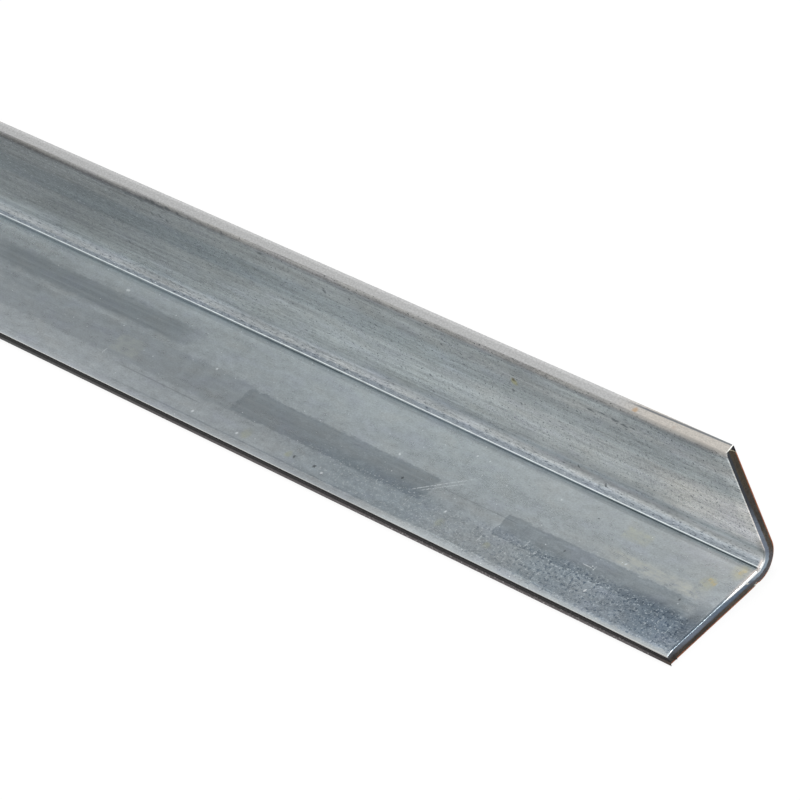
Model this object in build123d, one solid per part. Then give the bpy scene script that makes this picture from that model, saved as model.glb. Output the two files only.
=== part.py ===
from build123d import *
import os

# A length of cold-formed steel angle with equal legs: one strip, slit from zinc-coated sheet,
# bent once along its middle and sheared to length at both ends.
#
# Frame: X runs along the length and Z up, with the origin under the middle of the section's box.
# One leg lies flat on Z = 0 and reaches towards -Y. The other stands along the +Y side.

# Driving dimensions, in millimetres
LENGTH = 1000.0
LEG = 25.0                  # width of each leg, from the outside of the heel to the toe
THICKNESS = 2.0
HEEL_RADIUS = 4.8           # outside of the bend
BEND_RADIUS = 2.5           # inside of the bend, which leaves the strip slightly thinner there

# Slit toe edges: the inner corner is rolled over, then a smooth land, then a torn zone that
# flares out to a slight burr at the outer face
TOE_ROLL_REACH = 1.25       # how far back along the leg the inner face starts to fall away
TOE_ROLL_DEPTH = 0.45
TOE_TORN_DEPTH = 1.1        # measured through the thickness, from the outer face
TOE_BURR = 0.2              # how far the burr stands beyond the smooth land

# Sheared ends: the blade came from inside the angle
END_ROLL_RADIUS = 0.3       # inner edges, drawn down by the blade
END_TORN_DEPTH = 1.1        # torn zone, measured through the thickness from the outer face
END_TORN_SETBACK = 0.15     # how far the torn zone falls back at the outer face

# Forming mark: the groove that the nose of the forming roll pressed along the inside of the bend,
# on the side of the flat leg. Places are (distance from the heel, height).
MARK_BOTTOM = (3.8, THICKNESS - 0.2)
MARK_STEEP_SIDE = 3.5       # where the short flank meets the inside of the bend
MARK_SOFT_SIDE = 5.3        # where the long flank runs out on the flat leg
MARK_CUTTER_TOP = (4.2, 2.8)    # clear of the metal

# The section is drawn from the heel: sketch X is the distance along the flat leg, sketch Y is height
END_PLANE = Plane(origin=(LENGTH / 2, LEG / 2, 0), x_dir=(0, -1, 0), z_dir=(-1, 0, 0))
BISECTOR = Plane(origin=(0, 0, 0), x_dir=(1, 1, 0), z_dir=(1, -1, 0))


def half_outline():
    """One leg of the section, from the middle of the heel round the toe to the middle of the bend."""
    land = LEG - TOE_BURR
    bend_centre = THICKNESS + BEND_RADIUS
    CenterArc((HEEL_RADIUS, HEEL_RADIUS), HEEL_RADIUS, start_angle=225, arc_size=45)
    Line((HEEL_RADIUS, 0), (LEG, 0))
    Line((LEG, 0), (land, TOE_TORN_DEPTH))
    Line((land, TOE_TORN_DEPTH), (land, THICKNESS - TOE_ROLL_DEPTH))
    TangentArc((land - TOE_ROLL_REACH, THICKNESS), (land, THICKNESS - TOE_ROLL_DEPTH), tangent=(1, 0))
    Line((bend_centre, THICKNESS), (land - TOE_ROLL_REACH, THICKNESS))
    CenterArc((bend_centre, bend_centre), BEND_RADIUS, start_angle=225, arc_size=45)


def depth_in_section(edge):
    """How far the middle of an edge lies from the nearer outer face of the angle."""
    middle = edge @ 0.5
    return min(LEG / 2 - middle.Y, middle.Z)


def bent_strip():
    """The angle with plain square ends: its section, drawn once and pulled along the length."""
    with BuildPart() as strip:
        with BuildSketch(END_PLANE):
            with BuildLine():
                half_outline()
                mirror(about=BISECTOR)
            make_face()
        extrude(amount=LENGTH)
    return strip.part


def shear_ends(strip):
    """Both ends as the shear leaves them: inner edges rolled over, outer edges torn back."""
    with BuildPart() as sheared:
        add(strip)
        for direction in (Axis.X, -Axis.X):
            end = sheared.faces().sort_by(direction)[-1]
            inner = [edge for edge in end.edges() if depth_in_section(edge) > 0.9 * THICKNESS]
            fillet(inner, END_ROLL_RADIUS)
            end = sheared.faces().sort_by(direction)[-1]
            outer = [edge for edge in end.edges() if depth_in_section(edge) < TOE_TORN_DEPTH / 4
                     or edge.geom_type == GeomType.CIRCLE and depth_in_section(edge) < THICKNESS]
            chamfer(outer, END_TORN_DEPTH, END_TORN_SETBACK, reference=end)
    return sheared.part


def forming_mark():
    """The cutter for the groove along the inside of the bend: a short flank and a long soft one."""
    bend_centre = THICKNESS + BEND_RADIUS
    drop = (BEND_RADIUS ** 2 - (bend_centre - MARK_STEEP_SIDE) ** 2) ** 0.5
    with BuildPart() as mark:
        with BuildSketch(END_PLANE):
            Polygon(
                (MARK_STEEP_SIDE, bend_centre - drop),
                MARK_BOTTOM,
                (MARK_SOFT_SIDE, THICKNESS),
                MARK_CUTTER_TOP,
                align=None,
            )
        extrude(amount=LENGTH)
    return mark.part


angle_section = shear_ends(bent_strip()) - forming_mark()

os.makedirs("parts", exist_ok=True)
export_step(angle_section, "parts/angle_section.step")
print("volume", round(angle_section.volume, 1), "mm3")
print("size", angle_section.bounding_box().size)
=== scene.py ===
import math

import bmesh
import bpy
from mathutils import Matrix, Vector


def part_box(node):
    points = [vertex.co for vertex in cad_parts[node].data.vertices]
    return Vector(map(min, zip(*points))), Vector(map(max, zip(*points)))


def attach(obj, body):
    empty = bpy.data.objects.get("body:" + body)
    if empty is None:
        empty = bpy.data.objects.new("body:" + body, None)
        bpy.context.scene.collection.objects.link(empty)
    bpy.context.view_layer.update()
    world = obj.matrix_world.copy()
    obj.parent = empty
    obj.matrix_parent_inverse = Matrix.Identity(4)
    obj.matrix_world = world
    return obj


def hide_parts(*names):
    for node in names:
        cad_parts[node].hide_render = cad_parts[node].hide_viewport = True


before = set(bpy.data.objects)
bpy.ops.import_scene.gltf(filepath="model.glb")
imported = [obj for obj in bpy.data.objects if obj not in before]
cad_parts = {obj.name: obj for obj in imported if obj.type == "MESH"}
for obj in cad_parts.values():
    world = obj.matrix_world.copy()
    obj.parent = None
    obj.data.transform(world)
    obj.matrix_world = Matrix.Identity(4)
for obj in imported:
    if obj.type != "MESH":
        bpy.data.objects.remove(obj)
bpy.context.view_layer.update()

# ---------------------------------------------------------------------------------------------
# The angle: one strip of steel sheet with a zinc coat, slit to width from a coil, bent along its
# middle by forming rolls and sheared off across both ends. It is a single piece, fixed to nothing.
MM = 0.001
TINY = 0.01 * MM
low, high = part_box("angle_section")
NEAR_END, FAR_END = high.x, low.x
HEEL = high.y                       # outer face of the upright leg
TOE = low.y                         # tip of the flat leg
TOP = high.z                        # tip of the upright leg
THICKNESS = 2.0 * MM
BEND_RADIUS = 2.5 * MM              # inside of the bend
BEND_START = THICKNESS + BEND_RADIUS    # from the heel's outer faces to the bend's centre line
BEND_THINNING = 0.124 * MM          # how much thinner the strip is in the middle of the bend
TORN_DEPTH = 1.1 * MM               # torn part of a cut edge, from the outer face
TOE_BURR = 0.2 * MM                 # how far the torn part stands out along the toes
TOE_ROLL_DEPTH = 0.45 * MM          # rolled-over corner along the toes
TOE_ROLL_REACH = 1.25 * MM
TOE_ROLL_ROWS = 8
LEG_ROWS = 100
BEND_ROWS = 54
STATION_STEP = 25 * MM
STATION_COUNT = 6
STATIONS = [NEAR_END - cut * STATION_STEP for cut in range(1, STATION_COUNT + 1)]   # cuts across the stock
STATION_REACH = 5 * MM              # an end's own rolled corner counts as part of its station
END_ROLL_DEPTH = 0.3 * MM           # rolled-over corner along the sheared ends
END_ROLL_SEGMENTS = 8

bend_centre = Vector((0, HEEL - BEND_START, BEND_START))
slit = TOE + TOE_BURR               # plane of the flat leg's slit edge, short of its burr


def near(value, wanted):
    return abs(value - wanted) < TINY


def pick(test):
    """Selects the vertices whose place passes the test, and nothing else."""
    mesh = bmesh.from_edit_mesh(bpy.context.object.data)
    bpy.ops.mesh.select_mode(type="VERT")
    bpy.ops.mesh.select_all(action="DESELECT")
    for vertex in mesh.verts:
        vertex.select = test(vertex.co)
    mesh.select_flush(True)
    bmesh.update_edit_mesh(bpy.context.object.data)


def extrude(step):
    bpy.ops.mesh.extrude_region_move(TRANSFORM_OT_translate={"value": step})


# The strip's outline through its thickness and along its length, standing on the flat leg's slit edge
bpy.ops.object.select_all(action="DESELECT")
bpy.ops.mesh.primitive_plane_add(size=1, location=(0, slit, THICKNESS / 2), rotation=(math.pi / 2, 0, 0))
angle = bpy.context.object
angle.name = "angle"
angle.scale = (NEAR_END - FAR_END, THICKNESS, 1)
bpy.ops.object.transform_apply(location=True, rotation=True, scale=True)
bpy.ops.object.mode_set(mode="EDIT")
bpy.ops.mesh.select_all(action="SELECT")
bpy.ops.mesh.bisect(plane_co=(0, 0, TORN_DEPTH), plane_no=(0, 0, 1))
for station in STATIONS:
    bpy.ops.mesh.select_all(action="SELECT")
    bpy.ops.mesh.bisect(plane_co=(station, 0, 0), plane_no=(1, 0, 0))
pick(lambda p: near(p.z, THICKNESS) and near(abs(p.x), NEAR_END))
bpy.ops.mesh.bevel(offset=END_ROLL_DEPTH, segments=END_ROLL_SEGMENTS, profile=0.5, affect="VERTICES")

# The outline swept across the flat leg, round the bend and up the upright leg
leg_run = TOP - TOE_BURR - BEND_START
leg_step = (leg_run - TOE_ROLL_REACH) / LEG_ROWS
toe_runs = [TOE_ROLL_REACH * (row / TOE_ROLL_ROWS) ** 2 for row in range(TOE_ROLL_ROWS + 1)]
toe_steps = [after - before for before, after in zip(toe_runs, toe_runs[1:])]
bpy.ops.mesh.select_all(action="SELECT")
for step in toe_steps + [leg_step] * LEG_ROWS:
    extrude((0, step, 0))
bpy.ops.mesh.spin(steps=BEND_ROWS, angle=-math.pi / 2, center=bend_centre, axis=(1, 0, 0))
for step in [leg_step] * LEG_ROWS + toe_steps[::-1]:
    extrude((0, 0, step))
bpy.ops.mesh.select_all(action="SELECT")
bpy.ops.mesh.remove_doubles(threshold=0.1 * TINY)
bpy.ops.mesh.normals_make_consistent(inside=False)

# The sweep's rows: each a point of the outer face, and the direction from there into the metal
leg_places = toe_runs[:-1] + [TOE_ROLL_REACH + row * leg_step for row in range(LEG_ROWS)]
flat_rows = [(Vector((0, slit + run, 0)), Vector((0, 0, 1))) for run in leg_places]
bend_rows = []
for row in range(BEND_ROWS + 1):
    turn = row / BEND_ROWS * math.pi / 2
    outwards = Vector((0, math.sin(turn), -math.cos(turn)))
    bend_rows.append((bend_centre + outwards * BEND_START, -outwards))
upright_rows = [(Vector((0, HEEL, TOP - TOE_BURR - run)), Vector((0, -1, 0))) for run in leg_places]


def depth_in_row(p, row):
    """How deep a point lies under the outer face, or nothing where it isn't in the row."""
    outer, inwards = row
    over_y, over_z = p.y - outer.y, p.z - outer.z
    if not near(over_y * inwards.z - over_z * inwards.y, 0):
        return None
    depth = over_y * inwards.y + over_z * inwards.z
    return depth if -TINY < depth < THICKNESS + TINY else None


def pick_in_row(row, depth_test, station=None):
    """Selects a row's vertices by their depth, by one station or along the whole stock."""
    def test(p):
        if station is not None and abs(p.x - station) > STATION_REACH:
            return False
        depth = depth_in_row(p, row)
        return depth is not None and depth_test(depth)
    pick(test)


def sink(row, drop, station=None):
    """Lowers the inner face in one row, and with it what lies above the torn part."""
    outer, inwards = row
    share = 1 - drop / (THICKNESS - TORN_DEPTH)
    pick_in_row(row, lambda depth: depth > TORN_DEPTH - TINY, station)
    bpy.ops.transform.resize(value=(1, share, share), center_override=outer + inwards * TORN_DEPTH)


# What the faces are made of: coat on the long faces, bare steel where the strip was cut
COAT, SLIT_EDGE, SHEARED_END = range(3)
materials = []
for name in ("zinc coat", "slit edge", "sheared end"):
    material = bpy.data.materials.new(name)
    material.use_nodes = True
    angle.data.materials.append(material)
    materials.append(material)
mesh = bmesh.from_edit_mesh(angle.data)
for face in mesh.faces:
    centre = face.calc_center_median()
    if abs(face.normal.x) > 0.999:
        face.material_index = SHEARED_END
    elif near(centre.y, slit) or near(centre.z, TOP - TOE_BURR):
        face.material_index = SLIT_EDGE
bmesh.update_edit_mesh(angle.data)

# The rolled-over corner of each sheared end, by how far it reaches along the strip and how deep:
# wide along the inner part of the flat leg and the bend's lower half, and narrow elsewhere
ROLL_WIDE = (0.3 * MM, 0.32 * MM)
ROLL_AT_TOE = (0.13 * MM, 0.1 * MM)
ROLL_ON_UPRIGHT = (0.14 * MM, 0.2 * MM)
ROLL_WIDENS = (-13.0 * MM, -2.5 * MM)   # across the strip from the middle of the bend
ROLL_NARROWS = (-0.6 * MM, 1.2 * MM)


def blend(start, end, value):
    """Goes smoothly from 0 at the start to 1 at the end."""
    share = min(max((value - start) / (end - start), 0), 1)
    return share * share * (3 - 2 * share)


def end_roll(across):
    wide = Vector(ROLL_AT_TOE).lerp(Vector(ROLL_WIDE), blend(*ROLL_WIDENS, across))
    return wide.lerp(Vector(ROLL_ON_UPRIGHT), blend(*ROLL_NARROWS, across)) / END_ROLL_DEPTH


for row in flat_rows + bend_rows + upright_rows:
    inner = row[0] + row[1] * THICKNESS
    longer, deeper = end_roll(inner.z - (HEEL - inner.y))
    for end in (NEAR_END, FAR_END):
        pick_in_row(row, lambda depth: depth > THICKNESS - END_ROLL_DEPTH - TINY, end)
        bpy.ops.transform.resize(value=(longer, deeper, deeper), center_override=(end, inner.y, inner.z))

# The toes: the inner corner rolled over, and the torn part flaring out to a burr
for leg_rows in (flat_rows, upright_rows):
    for row, run in zip(leg_rows[:TOE_ROLL_ROWS], leg_places):
        sink(row, TOE_ROLL_DEPTH * (1 - math.sqrt(1 - (1 - run / TOE_ROLL_REACH) ** 2)))
pick(lambda p: near(p.y, slit) and near(p.z, 0))
bpy.ops.transform.translate(value=(0, -TOE_BURR, 0))
pick(lambda p: near(p.z, TOP - TOE_BURR) and near(p.y, HEEL))
bpy.ops.transform.translate(value=(0, 0, TOE_BURR))

# The forming mark: the nose of the forming roll left a groove along the inside of the bend, steep
# on the side of the bend and soft on the side of the flat leg. It runs a little askew, drifting
# towards the heel over the first part of the length.
MARK_DEPTH = 0.15 * MM
MARK_STEEP_SIDE = 3.84 * MM         # from the heel's outer face, at the near end
MARK_BOTTOM = 3.97 * MM
MARK_SOFT_SIDE = 5.4 * MM
MARK_DRIFT = 0.57 * MM
MARK_DRIFTS_ALONG = (-15 * MM, 140 * MM)
SINK_HALVINGS = 25


def inside_height(back):
    """Height of the bend's inside and the flat leg's inner face, at a distance from the heel."""
    into_bend = min(max(BEND_START - back, 0), BEND_RADIUS)
    return BEND_START - math.sqrt(BEND_RADIUS ** 2 - into_bend ** 2)


def mark_height(back, drift):
    """Height of the same face with the forming mark pressed in."""
    steep_side = MARK_STEEP_SIDE - drift
    bottom = MARK_BOTTOM - drift
    if back > bottom:
        share = max(MARK_SOFT_SIDE - back, 0) / (MARK_SOFT_SIDE - bottom)
        return THICKNESS - MARK_DEPTH * share ** 3
    if back < steep_side:
        return inside_height(back)
    lip = inside_height(steep_side)
    return lip + (THICKNESS - MARK_DEPTH - lip) * (back - steep_side) / (bottom - steep_side)


for station in (NEAR_END, *STATIONS, FAR_END):
    drift = MARK_DRIFT * blend(*MARK_DRIFTS_ALONG, NEAR_END - station)
    for row in flat_rows + bend_rows[1:]:
        inner = row[0] + row[1] * THICKNESS
        if not MARK_STEEP_SIDE - drift - MM < HEEL - inner.y < MARK_SOFT_SIDE:
            continue
        drop, too_deep = 0, THICKNESS - TORN_DEPTH
        for halving in range(SINK_HALVINGS):
            middle = (drop + too_deep) / 2
            p = inner - row[1] * middle
            if p.z > mark_height(HEEL - p.y, drift):
                drop = middle
            else:
                too_deep = middle
        if drop > TINY / 10:
            sink(row, drop, station)

# The bend, stretched thinnest in its middle
for index, row in enumerate(bend_rows):
    thinner = BEND_THINNING * math.sin(2 * index / BEND_ROWS * math.pi / 2) ** 2
    pick_in_row(row, lambda depth: near(depth, 0))
    bpy.ops.transform.translate(value=row[1] * thinner)

# The torn part of the sheared ends, which is broken and uneven
TORN_CUTS = 6
TORN_ROUGHNESS = 0.09 * MM
TORN_SMOOTHING = 0.4
TORN_MARGIN = 0.4 * MM              # kept plain by the toes
TORN_RIM = 0.15 * MM                # kept plain along the outer face
NEAR_EITHER_END = NEAR_END - 0.5 * MM

mesh = bmesh.from_edit_mesh(angle.data)
bpy.ops.mesh.select_mode(type="EDGE")
bpy.ops.mesh.select_all(action="DESELECT")
for edge in mesh.edges:
    at_end = min(abs(vertex.co.x) for vertex in edge.verts) > NEAR_EITHER_END
    if at_end and abs(edge.calc_length() - TORN_DEPTH) < TORN_RIM:
        edge.select = True
bmesh.update_edit_mesh(angle.data)
bpy.ops.mesh.subdivide(number_cuts=TORN_CUTS)


def in_torn_part(p):
    """Whether a point lies inside the torn part of a sheared end, clear of its edges."""
    corner = Vector((max(BEND_START - (HEEL - p.y), 0), max(BEND_START - p.z, 0)))
    depth = BEND_START - corner.length
    within_toes = p.y > slit + TORN_MARGIN and p.z < TOP - TOE_BURR - TORN_MARGIN
    return abs(p.x) > NEAR_EITHER_END and within_toes and TORN_RIM < depth < TORN_DEPTH - 2 * TINY


pick(in_torn_part)
for seed in (1, 2):
    bpy.ops.transform.vertex_random(offset=TORN_ROUGHNESS, uniform=0, normal=1, seed=seed)
    bpy.ops.mesh.vertices_smooth(factor=TORN_SMOOTHING, repeat=1)
for end in (NEAR_END, FAR_END):
    pick(lambda p: p.x / end > 0.99 and in_torn_part(p))
    bpy.ops.transform.translate(value=(-math.copysign(TORN_ROUGHNESS, end) / 2, 0, 0))
    pick(lambda p: p.x / end > 1)
    bpy.ops.transform.resize(value=(0, 1, 1), center_override=(end, 0, 0))

# The near end: cut a little off square towards the flat leg's toe, with a fold broken out of its
# top corner and a nick in its outer edge by the heel. The far end is cut square.
OFF_SQUARE = 0.42 * MM
SQUARE_AS_FAR_AS = 8 * MM
FOLD_DEPTH = 0.16 * MM
FOLD_SLOPE = 1.4                    # how steeply its lower edge falls towards the outer face
FOLD_HEIGHT = 1.55 * MM             # how far below the top it reaches there
NICK_PLACE = Vector((NEAR_END, HEEL - 5.4 * MM, 0))
NICK_REACH = 0.4 * MM
NICK_DEPTH = 0.1 * MM
for row in flat_rows:
    back = HEEL - row[0].y
    share = (back - SQUARE_AS_FAR_AS) / (HEEL - TOE - SQUARE_AS_FAR_AS)
    if share > 0:
        pick_in_row(row, lambda depth: True, NEAR_END)
        bpy.ops.transform.translate(value=(-OFF_SQUARE * share, 0, 0))
pick(lambda p: in_torn_part(p) and p.x > 0 and (TOP - p.z) + FOLD_SLOPE * (HEEL - p.y) < FOLD_HEIGHT)
bpy.ops.transform.translate(value=(-FOLD_DEPTH, 0, 0))
pick(lambda p: (p - NICK_PLACE).length < NICK_REACH)
bpy.ops.transform.translate(value=(-NICK_DEPTH, 0, 0))

bpy.ops.object.mode_set(mode="OBJECT")
SHARPEST_ROUND = math.radians(35)
bpy.ops.object.shade_smooth_by_angle(angle=SHARPEST_ROUND)


class Field:
    """A number, colour or place that varies over a surface: one output socket of a shader node."""

    def __init__(self, tree, socket):
        self.tree = tree
        self.socket = socket

    def node(self, kind, settings, inputs, output=0):
        """Adds a node of a kind. Its settings are made first, and then its sockets are filled."""
        added = self.tree.nodes.new(kind)
        for name, value in settings.items():
            setattr(added, name, value)
        for name, value in inputs.items():
            if isinstance(value, Field):
                self.tree.links.new(value.socket, added.inputs[name])
            else:
                added.inputs[name].default_value = value
        return Field(self.tree, added.outputs[output])

    def math(self, operation, *values):
        return self.node("ShaderNodeMath", {"operation": operation}, dict(enumerate(values)))

    def vector_math(self, operation, *values, output=0):
        return self.node("ShaderNodeVectorMath", {"operation": operation}, dict(enumerate(values)), output)

    def __add__(self, other):
        return self.math("ADD", self, other)

    def __sub__(self, other):
        return self.math("SUBTRACT", self, other)

    def __mul__(self, other):
        return self.math("MULTIPLY", self, other)

    def __truediv__(self, other):
        return self.math("DIVIDE", self, other)

    def __rsub__(self, other):
        return self.math("SUBTRACT", other, self)

    __radd__ = __add__
    __rmul__ = __mul__

    def larger(self, other):
        return self.math("MAXIMUM", self, other)

    def smaller(self, other):
        return self.math("MINIMUM", self, other)

    def part(self, axis):
        """One of a place's three numbers."""
        return self.node("ShaderNodeSeparateXYZ", {}, {0: self}, axis)

    def rise(self, start, end):
        """Goes smoothly from 0 at the start to 1 at the end, which may be the lower of the two."""
        return self.node("ShaderNodeMapRange", {"interpolation_type": "SMOOTHSTEP"},
                         {"Value": self, "From Min": start, "From Max": end})

    def within(self, start, end, fade_in, fade_out):
        """1 between two values, and 0 outside the stretches where it fades in and out."""
        return self.rise(start - fade_in, start) * self.rise(end + fade_out, end)

    def paint(self, colour):
        """A colour in the strength of this number."""
        return self.node("ShaderNodeVectorMath", {"operation": "SCALE"}, {0: colour, "Scale": self})

    def mix(self, other, share):
        """This colour with a share of another laid over it."""
        if not isinstance(other, Field):
            other = (*other, 1)
        return self.node("ShaderNodeMix", {"data_type": "RGBA"}, {0: share, 6: self, 7: other}, 2)

    def stain(self, tint, share):
        """This colour seen through a share of a tint."""
        settings = {"data_type": "RGBA", "blend_type": "MULTIPLY"}
        return self.node("ShaderNodeMix", settings, {0: share, 6: self, 7: (*tint, 1)}, 2)

    def noise(self, size, detail=2.0, roughness=0.5):
        """Noise from about -0.5 to 0.5 over a place, with blotches of a size along and across."""
        place = self.vector_math("DIVIDE", self, (*size, 1))
        inputs = {"Vector": place, "Scale": 1.0, "Detail": detail, "Roughness": roughness}
        return self.node("ShaderNodeTexNoise", {"noise_dimensions": "2D"}, inputs) - 0.5

    def wobble(self, size, reach):
        """This place moved about at random, up to a reach, in waves of a size."""
        place = self.vector_math("DIVIDE", self, (size, size, 1))
        inputs = {"Vector": place, "Scale": 1.0, "Detail": 2.0}
        wander = self.node("ShaderNodeTexNoise", {"noise_dimensions": "2D"}, inputs, "Color")
        wander = wander.vector_math("SUBTRACT", wander, (0.5, 0.5, 0.5))
        return wander.vector_math("MULTIPLY_ADD", wander, (2 * reach, 2 * reach, 0), self)

    def dots(self, size, share, radius):
        """Round dots scattered one to a cell in a share of the cells, each of its own size."""
        place = self.vector_math("DIVIDE", self, (*size, 1))
        inputs = {"Vector": place, "Scale": 1.0}
        cells = self.node("ShaderNodeTexVoronoi", {"voronoi_dimensions": "2D"}, inputs)
        random = Field(self.tree, cells.socket.node.outputs["Color"])
        distance = cells / (random.part(0) * 0.7 + 0.3)
        return distance.rise(radius * 1.4, radius * 0.6) * random.part(1).rise(share + 0.01, share)


def joined(along, across):
    """A place on the unrolled strip, from its distances along and across."""
    return along.node("ShaderNodeCombineXYZ", {}, {0: along, 1: across})


def stock_coordinates(material):
    """Places on the angle, in millimetres: along from the near end, back from the heel, and up."""
    tree = material.node_tree
    place = Field(tree, tree.nodes.new("ShaderNodeTexCoord").outputs["Object"])
    along = (NEAR_END - place.part(0)) / MM
    back = (HEEL - place.part(1)) / MM
    up = place.part(2) / MM
    return along, back, up


def fill(material, colour, roughness, metallic, height):
    """Feeds a material's own shader, with relief given as a height in millimetres."""
    shader = material.node_tree.nodes["Principled BSDF"]
    bump = height.node("ShaderNodeBump", {}, {"Height": height, "Distance": MM, "Strength": 1.0})
    values = {"Base Color": colour, "Roughness": roughness, "Metallic": metallic, "Normal": bump}
    for name, value in values.items():
        if isinstance(value, Field):
            material.node_tree.links.new(value.socket, shader.inputs[name])
        else:
            shader.inputs[name].default_value = value


# The zinc coat: dull blue-grey, clouded, and streaked and scuffed lengthwise by the rolls. On the
# inner faces a place is given by how far it lies along from the near end, and how far from the
# heel's outer face: above 0 up the upright leg, and below 0 across the flat leg.
ZINC = (0.536, 0.566, 0.574)
MIDDLE = THICKNESS / MM / 2             # of the strip, between its inner and its outer face
OTHER_SIDE = 100                        # how far the pattern moves on for the outer faces
WORN_WAVES = 1.2                        # size and reach of the waves in a worn edge
WORN_REACH = 0.35

along, back, up = stock_coordinates(materials[COAT])
from_heel = back.larger(up)
turned = up - back
upright = turned.rise(-0.3, 0.3)
flat = 1 - upright
inside = back.smaller(up).rise(MIDDLE - 0.1, MIDDLE + 0.1)
inner_flat = flat * inside
inner_upright = upright * inside
place = joined(along, turned + (1 - inside) * OTHER_SIDE)
spot = joined(along, from_heel * (upright * 2 - 1))
worn = spot.wobble(WORN_WAVES, WORN_REACH)
worn_along = worn.part(0)
worn_across = worn.part(1)

clouds = place.noise((38, 6), detail=2)
streaks = place.noise((45, 0.55), detail=3, roughness=0.6)
mottle = place.noise((2.4, 1.1), detail=4, roughness=0.65)
grain = place.noise((0.4, 0.24), detail=2, roughness=0.75)
hue = place.noise((8, 3), detail=2)
patches = place.noise((13, 1.7), detail=3, roughness=0.6)


def by_leg(on_flat, on_upright):
    """A strength that differs between the two legs."""
    return upright * (on_upright - on_flat) + on_flat


# The upright leg is streaked, patchy and sandy, though calmer next to the bend, and the flat leg is
# smoother. How strongly each shows, on the flat leg and on the upright one:
CLOUDED = 0.2
STREAKED = (0.1, 0.75)
MOTTLED = (0.4, 0.5)
GRAINED = (0.5, 1.0)
PATCHY = (0.15, 0.65)
calm = from_heel.rise(7.5, 4.5) * inner_upright
sandy = by_leg(*GRAINED) * (1 - calm * 0.65) * (1 - upright * along.rise(60, 125) * 0.3)
tone = 1 + clouds * CLOUDED + streaks * by_leg(*STREAKED)
tone = tone + mottle * by_leg(*MOTTLED) * (1 - calm * 0.4)
tone = tone + grain * sandy + patches * by_leg(*PATCHY)

# Painted shade and light standing in for how the lamps fall: both legs darken towards their toes, and the
# upright one farther along as well. Each row gives the leg, between which distances from the heel and
# along the stock its tone changes, and to what.
BEFORE_ALL = (-2, -1)                   # ahead of the metal, so the change is complete all over it
PAINTED_LEG_SHADES = (
    (inner_upright, BEFORE_ALL, BEFORE_ALL, 0.97),
    (inner_upright, (8, 22), BEFORE_ALL, 0.72),
    (inner_upright, (4, 9), (60, 200), 0.42),
    (inner_flat, (12, 17), BEFORE_ALL, 0.90),
    (inner_flat, (12, 16), (125, 150), 1.09),
)
for leg, across_rise, along_rise, painted_tone in PAINTED_LEG_SHADES:
    share = leg * from_heel.rise(*across_rise) * along.rise(*along_rise)
    tone = tone * (share * (painted_tone - 1) + 1)

FLAT_HUE = (0.965, 1.0, 1.035)
UPRIGHT_HUE = (1.012, 1.0, 0.968)
WARMER = (1.015, 1.0, 0.985)
COOLER = (0.985, 0.98, 1.01)
colour = tone.paint(ZINC)
colour = colour.stain(FLAT_HUE, inner_flat)
colour = colour.stain(UPRIGHT_HUE, inner_upright * from_heel.rise(3.8, 5.5))
colour = colour.stain(WARMER, hue.rise(0, 0.25))
colour = colour.stain(COOLER, hue.rise(0, -0.25))

# Bands that the rolls left dull along the flat leg: from and to along the stock, from and to
# across it, how far each end fades, how dull, and how soft
ROLLED_BANDS = (
    (9, 47, -18.4, -14.6, 9, 0.3, 1.25, 0.3),
    (65, 112, -18.6, -14.1, 2, 1.5, 1.05, 0.33),
    (112, 178, -18.8, -13.4, 0.5, 8, 0.42, 0.4),
    (139, 182, -10.9, -8.4, 10, 16, 0.95, 0.6),
)
DULLED = (0.67, 0.69, 0.71)
BAND_LIMIT = 0.6                        # how much of the band and its tatters it takes to dull
tatters = place.noise((5, 0.7), detail=4, roughness=0.7) * 1.3
dull = 0
for start, end, toe_side, bend_side, fade_in, fade_out, share, softness in ROLLED_BANDS:
    side_fade = 0.2 + 2.6 * softness
    band = worn_along.within(start, end, fade_in, fade_out)
    band = band * worn_across.within(toe_side, bend_side, side_fade, side_fade)
    dull = (band + tatters).rise(BAND_LIMIT - softness, BAND_LIMIT + softness) * share + dull
dull = dull * (1 + mottle * 1.4 + clouds * 0.6 + streaks * 1.6 + grain * 0.8)
colour = colour.stain(DULLED, dull * inside)

# Patches and stripes of another tone, laid on the plain place of a spot where their edges are smooth,
# and on the worn one where they are ragged. Edges are given along and across the strip: start, end,
# and how far it fades at each.
NEAR, FAR = -10, 2000                   # beyond the stock's ends
BEYOND_TOE = 30


def patch(place, along_edges, across_edges):
    """1 on a patch of the inner faces, by its edges along and across the strip."""
    return place.part(0).within(*along_edges) * place.part(1).within(*across_edges) * inside


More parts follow.
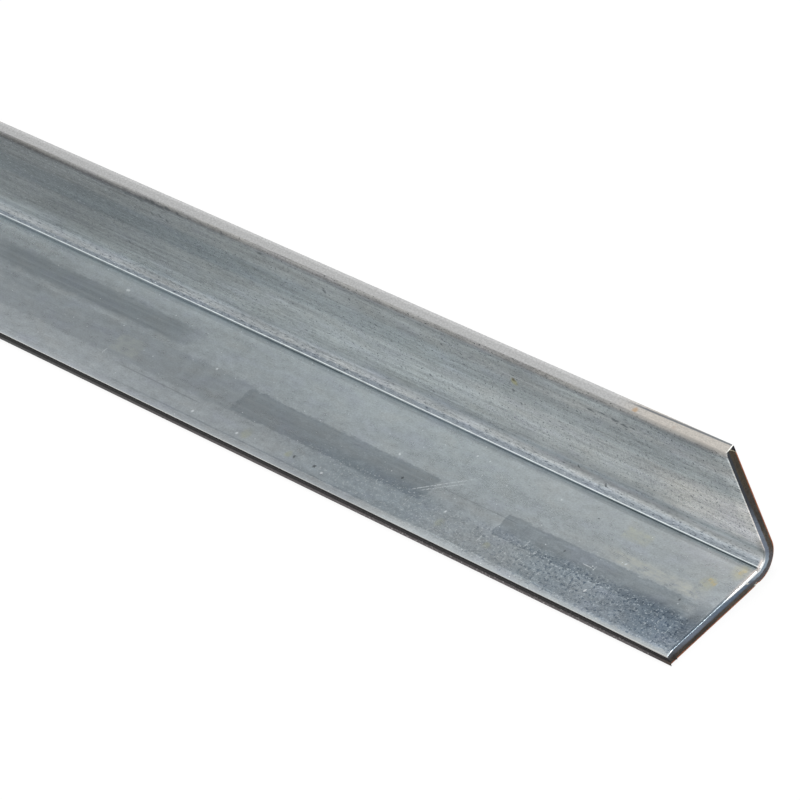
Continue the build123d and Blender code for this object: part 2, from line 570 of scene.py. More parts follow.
TINTED_PATCHES = {
    "warm lower part": (spot, (1.035, 1.0, 0.99), (NEAR, 45, 1, 35), (5.5, 20, 1.2, 3)),
    "browned above the bend": (worn, (0.995, 0.985, 0.99), (18, 130, 6, 20), (3.8, 5.0, 0.5, 0.8)),
    "blued middle": (worn, (0.89, 0.918, 0.934), (NEAR, FAR, 1, 1), (15.0, 18.6, 1.2, 1.5)),
    "bluer middle, far": (worn, (0.90, 0.926, 0.942), (135, FAR, 40, 1), (15.0, 18.6, 1.2, 1.5)),
    # Painted light: the upright leg's lower part lit brighter near the end and just above the bend
    "painted light on lower part, near": (spot, (1.22, 1.155, 1.125), (NEAR, 12, 1, 18), (4.6, 11.5, 0.7, 4.0)),
    "painted light above the bend": (spot, (1.37, 1.37, 1.38), (NEAR, 8, 1, 18), (4.6, 7.2, 0.7, 1.4)),
    "pale streak": (worn, (1.25, 1.24, 1.25), (NEAR, 4, 1, 24), (18.3, 19.7, 0.7, 0.7)),
    "pale near end": (spot, (1.22, 1.20, 1.18), (NEAR, 1.8, 1, 1.7), (12, BEYOND_TOE, 3, 1)),
    "pale line": (worn, (1.10, 1.10, 1.10), (NEAR, 100, 1, 50), (4.5, 5.0, 0.4, 0.8)),
    # Painted shade along the foot of the upright leg's rolled toe
    "painted shade below the toe": (worn, (0.72, 0.72, 0.74), (NEAR, FAR, 1, 1), (23.3, 24.0, 0.15, 0.3)),
    "browned toe": (spot, (0.945, 0.91, 0.905), (NEAR, FAR, 1, 1), (24.2, BEYOND_TOE, 0.4, 1)),
    "pale toe, far": (spot, (1.6, 1.6, 1.6), (135, FAR, 50, 1), (24.7, BEYOND_TOE, 0.4, 1)),
    "blue-black flat corner": (worn, (0.76, 0.81, 0.88), (NEAR, 8, 1, 34), (-24.0, -18.6, 0.4, 2.4)),
    "its darker middle": (worn, (0.80, 0.82, 0.84), (3, 14, 2.5, 7), (-21.0, -17.5, 1.5, 1.5)),
}
for edged, tint, along_edges, across_edges in TINTED_PATCHES.values():
    colour = colour.stain(tint, patch(edged, along_edges, across_edges))
SMUDGE = (0.78, 0.77, 0.77)
smudged = patch(worn, (23, 40, 9, 25), (3.5, 4.1, 0.4, 0.3)) * (0.75 + mottle * 2)
colour = colour.stain(SMUDGE, smudged)

# The flat leg's toe is shaded, with two gaps, and full of fine dark and bright specks near the end
TOE_SHADE = (0.82, 0.86, 0.89)
SMUT = (0.36, 0.42, 0.50)
FROST = (0.72, 0.80, 0.85)
FAR_FROST = (0.70, 0.75, 0.76)
gaps = (1 - along.within(15, 23, 5, 6) * 0.9) * (1 - along.within(41, 56, 6, 8) * 0.7)
toe_shade = patch(worn, (6, 78, 5, 26), (-23.4, -18.6, 0.5, 2.5)) * gaps
colour = colour.stain(TOE_SHADE, toe_shade)
speckled = patch(worn, (NEAR, 14, 1, 71), (-24.0, -18.6, 0.4, 2.4)) * (clouds * 0.8 + 0.9)
smuts = place.noise((0.75, 0.55), detail=2, roughness=0.85)
colour = colour.stain(SMUT, smuts.rise(0.04, 0.15) * speckled)
frost = place.noise((0.65, 0.48), detail=2, roughness=0.9)
colour = colour.mix(FROST, frost.rise(0.07, 0.18) * speckled * 0.75)
frosted = patch(worn, (40, 78, 14, 35), (-23.8, -18.6, 0.3, 1.2))
colour = colour.mix(FAR_FROST, frost.rise(0.08, 0.22) * frosted * 0.7)
salt = place.dots((1.3, 0.9), 0.3, 0.09) * inner_flat * (mottle * 2 + 0.6)
salt = salt * patch(worn, (26, 75, 8, 30), (-23.6, -13.5, 0.5, 2.0))

# A cream stain along the first band's edge, near the end
CREAM = (0.66, 0.67, 0.61)
creamed = patch(worn, (7, 20, 5, 9), (-13.5, -12.4, 0.6, 2.0)) * (0.42 + mottle * 1.6 + streaks)
colour = colour.mix(CREAM, creamed)


def dots_at(place, dots):
    """Dots on the coat, each with its place along and across, and its reach."""
    found = 0
    for dot_along, dot_across, reach in dots:
        distance = place.vector_math("DISTANCE", place, (dot_along, dot_across, 0), output="Value")
        found = distance.rise(reach * 1.3, reach * 0.4).larger(found)
    return found


def stroke(place, start, end, width):
    """A straight stroke on the coat between two places."""
    start, end = Vector((*start, 0)), Vector((*end, 0))
    run = (end - start).normalized()
    offset = place.vector_math("SUBTRACT", place, (start + end) / 2)
    lengthwise = offset.vector_math("DOT_PRODUCT", offset, run, output="Value")
    sideways = offset.vector_math("DOT_PRODUCT", offset, (-run.y, run.x, 0), output="Value")
    half = (end - start).length / 2
    lengthwise = lengthwise.math("ABSOLUTE", lengthwise).rise(half * 1.1, half * 0.8)
    return lengthwise * sideways.math("ABSOLUTE", sideways).rise(width, width * 0.3)


# Spots of discoloured coat and rust: the colour, how strongly it shows, how unevenly, and the spots
SPOTS = {
    "pale yellow": ((0.62, 0.62, 0.47), 0.5, 1.6, ((2.2, -5.9, 1.7), (5.5, -10.2, 1.5))),
    "green": ((0.48, 0.50, 0.30), 0.3, 1.0,
              ((57, -21.1, 1.0), (45.7, -21.1, 0.7), (105, -21.8, 1.3), (94, -21.8, 0.8))),
    "rust": ((0.45, 0.40, 0.12), 0.6, 0, ((50.5, 19.2, 0.8),)),
    "rusty pit": ((0.10, 0.07, 0.02), 0.9, 0, ((50.5, 19.6, 0.45),)),
}
for spot_colour, strength, unevenness, dots in SPOTS.values():
    colour = colour.mix(spot_colour, dots_at(worn, dots) * (strength + mottle * unevenness))
YELLOW_CLOUD = (0.60, 0.61, 0.48)
YELLOW_STREAK = (0.68, 0.60, 0.36)
yellow_cloud = stroke(worn, (20.5, -8.0), (26.5, -7.8), 1.7)
colour = colour.mix(YELLOW_CLOUD, yellow_cloud * (0.33 + mottle * 1.2))
yellow_streaks = stroke(worn, (6.0, -9.4), (4.0, -9.8), 0.6)
yellow_streaks = yellow_streaks.larger(stroke(worn, (2.3, -6.5), (1.6, -5.2), 0.6))
colour = colour.mix(YELLOW_STREAK, yellow_streaks * (0.5 + smuts * 2.5))

# Scuffs, and pits and dents given by their place and reach. The dents are drawn out lengthwise.
SCUFF = (0.38, 0.40, 0.42)
PEPPER = (0.22, 0.24, 0.26)
PIT = (0.07, 0.08, 0.085)
scuffs = place.noise((1.6, 0.3), detail=2, roughness=0.65)
scuffed = patches.rise(0.15, -0.1) * inner_upright * along.rise(170, 60) * 0.9 + 0.12
scuffed = scuffs.rise(0.12, 0.26) * scuffed
colour = colour.stain(SCUFF, scuffed)
pepper = place.noise((0.7, 0.5), detail=1, roughness=0.8).rise(0.19, 0.25)
pepper = pepper * (1.1 + patches * 2.4 + mottle) * inner_upright * (1 - calm * 0.8)
colour = colour.stain(PEPPER, pepper * along.rise(230, 60))
pits = place.noise((0.45, 0.3), detail=1).rise(0.21, 0.28) * (inner_upright * 0.85 + 0.15)
UPRIGHT_PITS = (
    (96.5, 20.6, 0.45), (89.7, 21.5, 0.3), (85, 17.6, 0.4), (67.4, 20.4, 0.35), (66.4, 21.9, 0.3),
    (75, 10.7, 0.4), (76.3, 6.5, 0.3), (121.5, 24.2, 0.35), (154.5, 9.7, 0.4), (51.7, 16.8, 0.35),
    (51.2, 14.2, 0.3), (42.2, 4.1, 0.3), (13.5, 14.1, 0.25), (36, 3.0, 0.3), (142, 21, 0.4),
    (139.8, 21.2, 0.4), (138, 20.7, 0.4), (147, 20.3, 0.3),
)
FLAT_PITS = (
    (92.6, -21.8, 0.3), (87.4, -21.7, 0.35), (70.8, -16.5, 0.25), (32.5, -16, 0.2), (32.5, -8, 0.18),
    (7.2, -14.8, 0.25),
)
pits = pits.larger(dots_at(worn, UPRIGHT_PITS + FLAT_PITS))
DRAWN_OUT = 0.3                         # a drawn dent's length is its reach divided by this
DRAWN_DENTS = (
    (32, 20.7, 0.3), (29, 21.2, 0.25), (26.3, 20.9, 0.3), (24.3, 20.6, 0.3), (22.3, 20.8, 0.25),
    (144, 23.6, 0.5), (141, 23.9, 0.55), (138.5, 23.8, 0.5), (136, 24.1, 0.35), (133, 23.9, 0.3),
    (147, 23.5, 0.35), (112, 23.2, 0.3),
)
drawn = worn.vector_math("MULTIPLY", worn, (DRAWN_OUT, 1, 1))
dents = dots_at(drawn, [(DRAWN_OUT * dent[0], *dent[1:]) for dent in DRAWN_DENTS])
pits = pits.larger(dents)
colour = colour.mix(PIT, pits * 0.75 * inside)

# Bright specks, ticks and scratches, the last two given by their ends and their width
BARE_ZINC = (0.85, 0.9, 0.93)
specks = (place.dots((3.7, 2.9), 0.35, 0.035) * inner_flat).larger(salt * 0.8)
BRIGHT_SPECKS = (
    (58, -18.8, 0.25), (22.9, -20.8, 0.3), (62.5, -7.1, 0.22), (59.4, -6.8, 0.2), (41.6, -7.7, 0.2),
    (52.5, -9.6, 0.2), (118.7, -22.4, 0.3), (106.7, -22.5, 0.35), (85, -22.4, 0.3), (122.5, -12.9, 0.25),
    (75.4, -12.7, 0.3), (21, -13.3, 0.3), (154.5, -6.4, 0.4),
)
specks = specks.larger(dots_at(worn, BRIGHT_SPECKS))
SCRATCHES = (
    ((67.5, -17.9), (58.6, -10.9), 0.16),
    ((65.6, -17.2), (59.5, -12.6), 0.14),
    ((48, -19.9), (48, -21.1), 0.22),
    ((39.5, -17), (39.5, -18.6), 0.15),
    ((25, -16), (25, -16.9), 0.18),
    ((27.6, -16.6), (25.3, -16.6), 0.12),
    ((146.3, -18.6), (146.3, -19.8), 0.2),
    ((65.9, -18.5), (65.9, -21.5), 0.07),
)
scratches = 0
for start, end, width in SCRATCHES:
    scratches = stroke(spot, start, end, width).larger(scratches)
scratches = scratches * (grain.rise(-0.15, 0.1) * 0.8)
colour = colour.mix(BARE_ZINC, (specks + scratches).smaller(1) * inside)

# A pale greenish patch, and two dark lines where the rolls' edges ran
PALE_GREEN = (0.52, 0.56, 0.53)
ROLL_LINE = (0.72, 0.72, 0.73)
pale_patch = patch(worn, (140, 146, 0.8, 0.8), (-18, -14.8, 0.6, 0.6))
colour = colour.mix(PALE_GREEN, pale_patch * (0.35 + mottle * 1.5))
lines = stroke(spot, (44, -15.1), (62, -15.1), 0.13)
lines = lines.larger(stroke(spot, (118, -20.4), (142, -20.3), 0.15))
colour = colour.stain(ROLL_LINE, lines * inside * (0.8 + grain * 2))

# The forming mark: burnished where the roll's nose rubbed, with a painted highlight on that line, and dirt
# with painted shadow along its bottom, painted shadow down its soft flank and painted shade on the
# shoulder beyond.
# Above it the inside of the bend is roughened, with painted shade on its lip, and the bend itself is
# dimmed with painted shade. Distances are back from the heel, as if the mark ran straight.
MARK_DRIFT_ENDS = [end / MM for end in MARK_DRIFTS_ALONG]
LIP_NARROWING = 0.025                   # the burnished line with its painted highlight is that much narrower near the end
PAINTED_BEND_SHADE = (0.80, 0.81, 0.82)
PAINTED_LOWER_BEND_SHADE = (0.93, 0.93, 0.94)
PAINTED_LIP_SHADE = (0.60, 0.62, 0.64)
CHAFED_DARK = (0.28, 0.31, 0.35)
CHAFED_BRIGHT = (0.78, 0.82, 0.84)
DIRT_AND_SHADOW = (0.40, 0.44, 0.46)
NEAR_DIRT_AND_SHADOW = (0.42, 0.45, 0.46)
PAINTED_FLANK_SHADOW = (0.66, 0.70, 0.71)
PAINTED_SHOULDER_SHADE = (0.74, 0.75, 0.76)
BURNISH_AND_HIGHLIGHT = (0.80, 0.86, 0.86)
from_mark = back + along.rise(*MARK_DRIFT_ENDS) * (MARK_DRIFT / MM)
bend = back.rise(4.2, 3.0) * up.rise(4.2, 3.0) * inside
# Painted shade dims the bend, farther along and on the flat leg's side
colour = colour.stain(PAINTED_BEND_SHADE, bend * along.rise(35, 130))
colour = colour.stain(PAINTED_LOWER_BEND_SHADE, bend * flat)
# Painted shade on the lip of the bend above the mark
lip_shade = from_mark.within(3.3, 3.76, 0.4, 0.05) * inner_flat
colour = colour.stain(PAINTED_LIP_SHADE, lip_shade)
chafed = place.noise((1.3, 0.3), detail=3, roughness=0.8)
by_mark = from_mark.within(2.9, 3.66, 0.7, 0.08) * inside
colour = colour.stain(CHAFED_DARK, chafed.rise(0.06, 0.17) * by_mark)
colour = colour.mix(CHAFED_BRIGHT, chafed.rise(-0.12, -0.2) * by_mark * 0.6)
from_lip = from_mark + along.rise(90, 60) * LIP_NARROWING
# The burnished line, brightened further by a painted highlight
burnish_and_highlight = from_mark.rise(3.77, 3.80) * from_lip.rise(3.89, 3.86) * inner_flat
burnish_and_highlight = burnish_and_highlight * (0.9 + mottle * 1.8 - pits)
# Along the mark's bottom: dirt, and painted shadow at the foot of its steep side
dirt_and_shadow = from_lip.within(3.95, 4.05, 0.06, 0.14) * inner_flat
colour = colour.stain(DIRT_AND_SHADOW, dirt_and_shadow * (1 - along.rise(95, 145) * 0.55))
colour = colour.stain(NEAR_DIRT_AND_SHADOW, dirt_and_shadow * along.rise(95, 20))
# Painted shadow fading down the mark's soft flank
flank_shadow = from_mark.within(3.95, 4.05, 0.06, 0.9) * inner_flat
colour = colour.stain(PAINTED_FLANK_SHADOW, flank_shadow)
# Painted shade on the shoulder beyond the mark
shoulder_shade = from_mark.within(4.75, 4.95, 0.25, 0.4) * inner_flat * (0.6 + along.rise(55, 30) * 0.5)
colour = colour.stain(PAINTED_SHOULDER_SHADE, shoulder_shade)
colour = colour.mix(BURNISH_AND_HIGHLIGHT, burnish_and_highlight * 0.9)

# The rolled-over toes: rougher, the flat leg's one darkened with painted shade, with a line before it that
# is dark, and light for a stretch near the end. The upright leg's corner takes the cut edge's colour, the
# flat leg's carries a painted highlight, and part of it is blackened.
DARK_TOE_LINE = (0.78, 0.79, 0.81)
LIGHT_TOE_LINE = (1.25, 1.25, 1.24)
TOE_ROLL_SHADE = (0.88, 0.87, 0.86)
FAR_TOE_ROLL_SHADE = (0.75, 0.75, 0.76)
SLIT_STEEL = (0.415, 0.418, 0.418)
NEAR_SLIT_STEEL = (0.475, 0.448, 0.412)
PAINTED_CORNER_HIGHLIGHT = (0.75, 0.76, 0.74)
BLACKENED = (0.03, 0.03, 0.032)
toe_line = from_heel.within(23.5, 23.65, 0.15, 0.1) * inner_flat
colour = colour.stain(DARK_TOE_LINE, toe_line * along.rise(62, 72) * (0.9 + streaks * 3))
colour = colour.stain(LIGHT_TOE_LINE, toe_line * along.within(30, 58, 12, 8))
toe_roll = from_heel.rise(23.5, 24.0) * inside
# Painted shade over the flat leg's rolled toe, more of it farther along
colour = colour.stain(TOE_ROLL_SHADE, toe_roll * flat)
colour = colour.stain(FAR_TOE_ROLL_SHADE, toe_roll * flat * along.rise(62, 80))
creamy_edge = from_heel.rise(24.0, 25.0) * inner_upright * along.rise(28, 14)
colour = colour.mix(NEAR_SLIT_STEEL, creamy_edge)
# Painted highlight on the flat leg's rolled corner at its toe
colour = colour.mix(PAINTED_CORNER_HIGHLIGHT, from_heel.rise(24.65, 24.8) * inner_flat)
blackened = up.rise(1.70, 1.58) * from_heel.rise(24.2, 24.6) * inner_flat * along.within(30, 72, 15, 32)
colour = colour.mix(BLACKENED, blackened)

# The coat dragged over the rolled corners of the sheared ends, with painted light and shade standing in
# for how
# the lamps catch them: a painted highlight by the bend with a painted cream glow beside it, painted shade
# across the flat leg and round the bend, thin painted highlight lines along the flat leg's outer part and
# up the upright leg, and a painted glint at the flat leg's toe corner. The foot of the upright leg is
# darker near the end.
LENGTH = (NEAR_END - FAR_END) / MM
PAINTED_CREAM_GLOW = (0.94, 0.85, 0.80)
PAINTED_END_SHADE = (0.54, 0.58, 0.62)
END_SHADE = (0.64, 0.66, 0.69)
END_RIM_SHADE = (0.66, 0.67, 0.68)
END_HIGHLIGHT_LINE = (0.62, 0.72, 0.77)
LEG_FOOT = (0.70, 0.69, 0.69)
LEG_FOOT_RIM = (0.74, 0.74, 0.75)
UPRIGHT_HIGHLIGHT_LINE = (0.70, 0.78, 0.82)
PAINTED_END_BEND_SHADE = (0.55, 0.57, 0.58)
PAINTED_BEND_RIM_SHADE = (0.60, 0.62, 0.63)
DRAGGED_WITH_HIGHLIGHT = (0.95, 0.96, 0.96)
CORNER_GLINT = (0.80, 0.90, 0.95)
askew = (from_heel - SQUARE_AS_FAR_AS / MM).larger(0) * (OFF_SQUARE / (HEEL - TOE - SQUARE_AS_FAR_AS))
from_end = (along - askew * flat).smaller(LENGTH - along)
by_bend = (inner_flat * from_heel.rise(12.5, 9)).larger(bend * turned.rise(0.6, -0.9))
# Painted cream glow beside the rolled corner by the bend
painted_cream_glow = from_end.rise(0.95, 0.1) * by_bend * (0.72 + from_heel.rise(7.5, 5.5) * 0.28)
colour = colour.mix(PAINTED_CREAM_GLOW, painted_cream_glow)
dragged_and_highlit = from_end.rise(0.28, 0.12)
# Painted shade across the flat leg's rolled corner at the end
painted_end_shade = from_end.rise(0.7, 0.4) * (inner_flat - by_bend).larger(0) * from_heel.rise(24, 23)
colour = colour.stain(PAINTED_END_SHADE, painted_end_shade)
end_shade = from_end.within(0.9, 1.8, 0.5, 2.4) * from_heel.within(16.5, 20.5, 4, 3) * inner_flat
colour = colour.stain(END_SHADE, end_shade)
# Painted shade along the end's rim on the flat leg's outer part
end_rim_shade = from_end.rise(0.45, 0.2) * from_heel.within(16, 23, 3, 1) * inner_flat
colour = colour.stain(END_RIM_SHADE, end_rim_shade)
# Painted highlight line along the flat leg's rolled corner
end_highlight_line = dragged_and_highlit * from_heel.rise(13, 16) * inner_flat * (grain * 1.5 + 0.12)
colour = colour.mix(END_HIGHLIGHT_LINE, end_highlight_line)
leg_foot = up.within(3.9, 5.6, 0.6, 1.6) * inside
colour = colour.stain(LEG_FOOT, from_end.rise(1.8, 0.7) * leg_foot)
leg_foot = up.within(3.6, 5.8, 0.6, 1.6) * inside
colour = colour.stain(LEG_FOOT_RIM, from_end.rise(0.3, 0.1) * leg_foot)
# Painted highlight line up the upright leg's rolled corner
upright_highlight_line = from_end.rise(0.35, 0.1) * inner_upright * from_heel.rise(4.8, 7) * (mottle * 2 + 0.12)
colour = colour.mix(UPRIGHT_HIGHLIGHT_LINE, upright_highlight_line)
# Painted shade on the rolled corner round the bend, darkest at its rim
colour = colour.stain(PAINTED_END_BEND_SHADE, from_end.rise(0.6, 0.3) * bend * turned.rise(0.8, 2.0))
colour = colour.stain(PAINTED_BEND_RIM_SHADE, from_end.rise(0.4, 0.1) * bend * turned.rise(0, 1.2))
# Painted highlight on the dragged coat by the bend
colour = colour.mix(DRAGGED_WITH_HIGHLIGHT, dragged_and_highlit * by_bend)
# Painted glint on the flat leg's rolled corner at the toe
corner_glint = from_end.rise(0.2, 0.1) * from_heel.rise(23.4, 23.8) * inner_flat
colour = colour.mix(CORNER_GLINT, corner_glint)

# How rough it is, and its fine relief in millimetres
COAT_METALLIC = 0.9
COAT_ROUGHNESS = 0.30
roughness = COAT_ROUGHNESS + mottle * 0.15 + clouds * 0.1 + dull * 0.03
rubbed_off = (bend * (1 - burnish_and_highlight)).larger(toe_roll) * (1 - dragged_and_highlit)
roughness = roughness + rubbed_off * 0.22 - dragged_and_highlit * 0.08
height = mottle * 0.02 + grain * 0.012 - scuffed * 0.008 - pits * 0.012
fill(materials[COAT], colour, roughness, COAT_METALLIC, height)

# The slit edges, bare steel: matt and pinkish grey on the upright leg, creamier towards the near
# end, with a dark burr line and two spots of rust
along, back, up = stock_coordinates(materials[SLIT_EDGE])
place = joined(along, up - back)
spot = joined(along, back)
grain = place.noise((0.6, 0.2), detail=4, roughness=0.6)
lengthwise = place.noise((14, 0.25), detail=3)
flecks = place.noise((0.5, 0.12), detail=1).rise(0.2, 0.32)
fine = place.noise((0.45, 0.3), detail=2, roughness=0.8)
tone = 1 + grain * 0.25 + lengthwise * 0.12 + fine * 0.8

LIGHTER = (1.18, 1.18, 1.18)
FLECK = (0.6, 0.6, 0.6)
BURR = (0.17, 0.18, 0.19)
EDGE_RUST = (0.40, 0.24, 0.10)
PALE_RUST = (0.40, 0.33, 0.29)
PAINTED_END_GLINT = (0.98, 0.98, 0.94)       # a painted glint on the rolled corner at the end
upper_edge = tone.paint(SLIT_STEEL).mix(tone.paint(NEAR_SLIT_STEEL), along.rise(28, 16))
upper_edge = upper_edge.stain(LIGHTER, back.rise(0.6, 0.3) * along.rise(14, 24))
upper_edge = upper_edge.stain(FLECK, flecks * 0.5)
burr_line = (back - along * 0.015).within(0.0, 0.2, 0.1, 0.12) * along.rise(26, 18)
upper_edge = upper_edge.mix(BURR, burr_line)
upper_edge = upper_edge.mix(EDGE_RUST, dots_at(spot, ((20.7, 1.3, 0.6),)) * 0.6)
upper_edge = upper_edge.mix(PALE_RUST, dots_at(spot, ((12, 1.3, 0.4),)) * 0.5)
# Painted glint on the rolled corner where the top edge meets the end
upper_edge = upper_edge.mix(PAINTED_END_GLINT, along.rise(0.3, 0.15) * (back.rise(1.4, 0.9) * 0.6 + 0.4))

# On the flat leg the same steel is darker: nearly black on the smooth land, and warm grey with
# light flecks on the torn part below it. A bright line of coat narrows along its upper corner.
BLACK_LAND = (0.010, 0.0095, 0.0105)
TORN_STEEL = (0.145, 0.130, 0.133)
WORN_LINE = (0.16, 0.15, 0.15)
LIGHT_FLECK = (0.50, 0.48, 0.48)
FAR_EDGE_TINT = (0.62, 0.70, 0.68)
NEAR_EDGE_TINT = (0.62, 0.60, 0.60)
CORNER_RUST = (0.09, 0.06, 0.035)
COAT_LINE = (0.52, 0.52, 0.51)
lower = up.rise(0.85, 0.35)
tone = 1 + grain * 1.6 + lengthwise * 0.8
lower_edge = tone.paint(BLACK_LAND).mix(tone.paint(TORN_STEEL), lower)
worn_line = up.within(0.98, 1.03, 0.05, 0.05) * (0.3 + grain * 1.5)
lower_edge = lower_edge.mix(WORN_LINE, worn_line)
light = place.noise((0.45, 0.35), detail=2).rise(0.1, 0.2) * lower * along.within(6, 60, 4, 30)
lower_edge = lower_edge.mix(LIGHT_FLECK, light * 0.8)
lower_edge = lower_edge.stain(FAR_EDGE_TINT, along.rise(90, 170))
lower_edge = lower_edge.stain(NEAR_EDGE_TINT, along.rise(9, 3))
lower_edge = lower_edge.mix(CORNER_RUST, along.rise(3, 0.5) * lower * 0.6)
coat_line = (up - along * 0.012).rise(1.33, 1.42) * along.rise(20, 12)
lower_edge = lower_edge.mix(COAT_LINE, coat_line)

EDGE_ROUGHNESS = 0.6
LOWER_METALLIC = 0.95
UPPER_METALLIC = 0.4
on_top = up.rise(9, 10)
colour = lower_edge.mix(upper_edge, on_top)
metallic = LOWER_METALLIC - on_top * (LOWER_METALLIC - UPPER_METALLIC)
fill(materials[SLIT_EDGE], colour, EDGE_ROUGHNESS, metallic, grain * 0.015 + lengthwise * 0.02)

# The sheared ends, bare steel: blued where the blade burnished it and darker towards the toes, and
# outside that torn and browned, with rust along the outer edge. A place on it is given by how far it
# lies from the middle of the bend, towards the upright leg's toe, and its depth under the outer faces.
along, back, up = stock_coordinates(materials[SHEARED_END])
around = up - back
corner_y = (BEND_START / MM - back).larger(0)
corner_z = (BEND_START / MM - up).larger(0)
from_centre = corner_y * corner_y + corner_z * corner_z
depth = BEND_START / MM - from_centre.math("SQRT", from_centre)
place = joined(around, depth)
grain = place.noise((0.35, 0.25), detail=4, roughness=0.65)
blotches = place.noise((2.2, 0.9), detail=3, roughness=0.6)
blade_lines = place.noise((0.22, 3.0), detail=2)
torn_top = 0.96 + around.rise(0.5, 2) * 0.1 + around.rise(5, 16) * 0.22 + grain * 0.35
land = depth.math("SUBTRACT", depth, torn_top).rise(-0.1, 0.1)

TORN_BROWN = (0.066, 0.054, 0.041)
TORN_BEND = (0.088, 0.084, 0.090)
TORN_RUST = (0.085, 0.058, 0.022)
TORN_UPRIGHT_TINT = (0.60, 0.60, 0.62)
TORN_FLAT_TINT = (0.72, 0.70, 0.70)
RIM_RUST = (0.36, 0.12, 0.05)
torn = (1 + grain * 1.2 + blotches).paint(TORN_BROWN)
torn = torn.mix(TORN_BEND, around.within(-5, 1, 2.5, 2.5))
torn = torn.mix(TORN_RUST, around.rise(13, 19) * (0.5 + blotches * 1.5))
torn = torn.stain(TORN_UPRIGHT_TINT, around.rise(5, 9))
torn = torn.stain(TORN_FLAT_TINT, around.rise(-10, -15))
torn = torn.mix(RIM_RUST, depth.rise(0.25 + blotches * 0.3, 0.05) * 0.95)

BLUED = (0.125, 0.152, 0.195)
PAINTED_LAND_REFLECTION = (0.27, 0.33, 0.39)
BLUER = (0.80, 0.93, 1.0)
LOWER_LAND_TINT = (0.52, 0.53, 0.54)
UPRIGHT_LAND_TINT = (0.13, 0.14, 0.15)
TOE_LAND_TINT = (0.42, 0.38, 0.34)
blued = (1 + grain * 0.5 + blade_lines * 0.5).paint(BLUED)
# Painted reflection: the land lighter beside the bend
blued = blued.mix(PAINTED_LAND_REFLECTION, around.within(-4.2, 0.0, 0.9, 2.4) * 0.8)
blued = blued.stain(BLUER, around.within(-12, -7, 3, 3))
blued = blued.stain(LOWER_LAND_TINT, depth.rise(1.45, 0.95) * around.rise(-2, -6))
blued = blued.stain(UPRIGHT_LAND_TINT, around.rise(6, 13))
blued = blued.stain(TOE_LAND_TINT, around.rise(-18, -23))
colour = torn.mix(blued, land)

# Chips by the nick in the outer edge, and the fold at the top in painted shade with a painted glint along
# its rim
CHIP = (0.62, 0.62, 0.55)
FOLD_PAINTED_SHADE = (0.012, 0.012, 0.018)
FOLD_PAINTED_GLINT = (0.55, 0.50, 0.36)
CHIPS = ((-5.6, 0.12, 0.22), (-5.1, 0.3, 0.14), (-5.5, 1.5, 0.22))
colour = colour.mix(CHIP, dots_at(place, CHIPS) * 0.9)
below_fold = (TOP / MM - up) + depth * FOLD_SLOPE
colour = colour.mix(FOLD_PAINTED_SHADE, below_fold.rise(1.45, 1.3))
colour = colour.mix(FOLD_PAINTED_GLINT, below_fold.within(1.42, 1.5, 0.08, 0.08))
END_METALLIC = 0.5
MATT_TORN = 0.62
SHINY_LAND = 0.45
roughness = MATT_TORN - land * (MATT_TORN - SHINY_LAND)
fill(materials[SHEARED_END], colour, roughness, END_METALLIC, grain * (1.2 - land) * 0.05)

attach(angle, "root")
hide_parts("angle_section")

# ---------------------------------------------------------------------------------------------
# The studio: a sheet of white paper for a floor, which the camera and reflections see as evenly
# white, a pale world, and three softboxes
PAPER_WIDTH = 30.0
PAPER_WHITE = (0.97, 0.97, 0.97, 1)
PAPER_ROUGHNESS = 0.9
WHITENED = 0.85                         # how far it is brought up to plain white
WORLD_STRENGTH = 0.45

bpy.ops.object.select_all(action="DESELECT")
bpy.ops.mesh.primitive_plane_add(size=PAPER_WIDTH)
floor = bpy.context.object
floor.name = "floor"
paper = bpy.data.materials.new("paper")
paper.use_nodes = True
tree = paper.node_tree
paper_shader = tree.nodes["Principled BSDF"]
paper_shader.inputs["Base Color"].default_value = PAPER_WHITE
paper_shader.inputs["Roughness"].default_value = PAPER_ROUGHNESS
plain_white = tree.nodes.new("ShaderNodeEmission")
whitened = tree.nodes.new("ShaderNodeMixShader")
light_path = tree.nodes.new("ShaderNodeLightPath")
seen = Field(tree, light_path.outputs["Is Camera Ray"]) + Field(tree, light_path.outputs["Is Glossy Ray"])
seen = seen + Field(tree, light_path.outputs["Is Transmission Ray"])
tree.links.new((seen.smaller(1) * WHITENED).socket, whitened.inputs[0])
tree.links.new(paper_shader.outputs[0], whitened.inputs[1])
tree.links.new(plain_white.outputs[0], whitened.inputs[2])
tree.links.new(whitened.outputs[0], tree.nodes["Material Output"].inputs["Surface"])
floor.data.materials.append(paper)

world = bpy.data.worlds.new("studio")
world.use_nodes = True
sky = world.node_tree.nodes["Background"]
sky.inputs["Color"].default_value = (1, 1, 1, 1)
sky.inputs["Strength"].default_value = WORLD_STRENGTH
bpy.context.scene.world = world


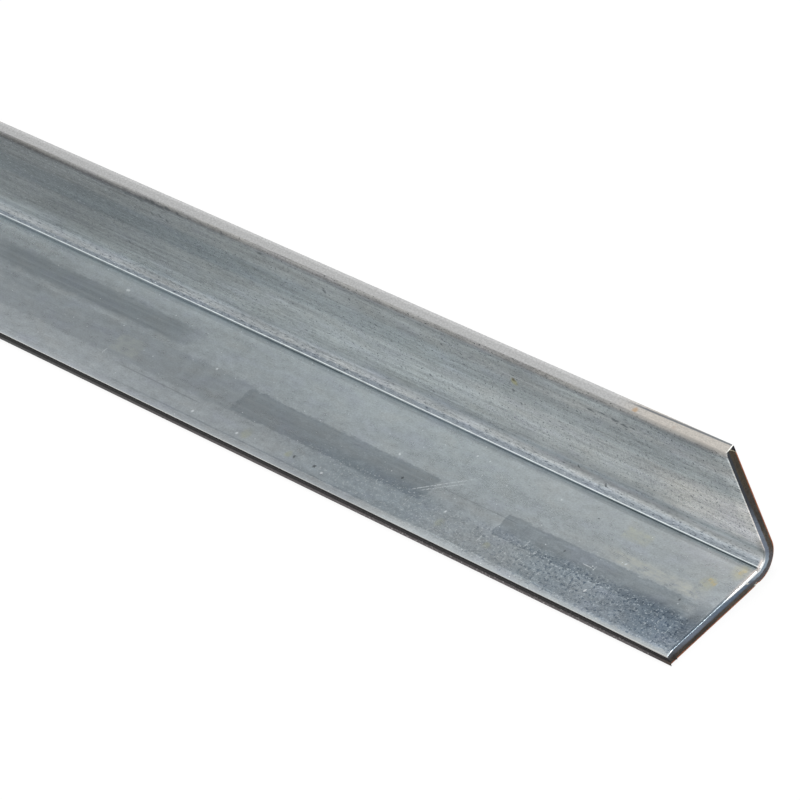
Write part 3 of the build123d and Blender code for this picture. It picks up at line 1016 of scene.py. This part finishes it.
def softbox(name, target, direction, distance, width, depth, power):
    """A lamp of a size in metres and a power in watts, at a distance in a direction from its target."""
    lamp_data = bpy.data.lights.new(name, "AREA")
    lamp_data.shape = "RECTANGLE"
    lamp_data.size = width
    lamp_data.size_y = depth
    lamp_data.energy = power
    lamp = bpy.data.objects.new(name, lamp_data)
    lamp.location = Vector(target) + Vector(direction).normalized() * distance
    lamp.rotation_euler = Vector(direction).to_track_quat("Z", "Y").to_euler()
    bpy.context.scene.collection.objects.link(lamp)


softbox("key", target=(0.4, 0, 0), direction=(-0.70, -0.45, 0.60), distance=1.8,
        width=2.0, depth=2.0, power=12.0)
softbox("overhead", target=(0.45, 0, 0), direction=(0, 0.37, 0.92), distance=1.4,
        width=0.8, depth=0.5, power=9.0)
softbox("front", target=(0.5, 0, 0), direction=(0.68, -0.05, 0.62), distance=1.6,
        width=1.9, depth=1.2, power=12.0)

# The camera: off the near end and above it, with a long lens, looking back along the stock, and
# rolled to one side. Its azimuth is counted from the stock's own direction.
SENSOR_WIDTH = 36                       # millimetres
FRAME_WIDTH = 800                       # pixels
FOCAL_LENGTH = 5488                     # in pixels of the frame
CAMERA_FROM_HEEL = Vector((0.54345, -0.336675, 0.552175))   # from the near end of the heel, in metres
CAMERA_AZIMUTH = math.radians(-27.9204)
CAMERA_ELEVATION = math.radians(37.7111)
CAMERA_ROLL = math.radians(-24.3243)
CLOSEST_SEEN = 0.01                     # metres
FARTHEST_SEEN = 50
camera_data = bpy.data.cameras.new("camera")
camera_data.sensor_width = SENSOR_WIDTH
camera_data.lens = SENSOR_WIDTH * FOCAL_LENGTH / FRAME_WIDTH
camera_data.clip_start = CLOSEST_SEEN
camera_data.clip_end = FARTHEST_SEEN
camera = bpy.data.objects.new("camera", camera_data)
bpy.context.scene.collection.objects.link(camera)
bpy.context.scene.camera = camera
turned_round = Matrix.Rotation(math.pi / 2 + CAMERA_AZIMUTH, 3, "Z")
tipped_down = Matrix.Rotation(math.pi / 2 - CAMERA_ELEVATION, 3, "X")
rolled = Matrix.Rotation(CAMERA_ROLL, 3, "Z")
camera.rotation_euler = (turned_round @ tipped_down @ rolled).to_euler()
camera.location = Vector((NEAR_END, HEEL, 0)) + CAMERA_FROM_HEEL

bpy.context.scene.view_settings.view_transform = "Standard"
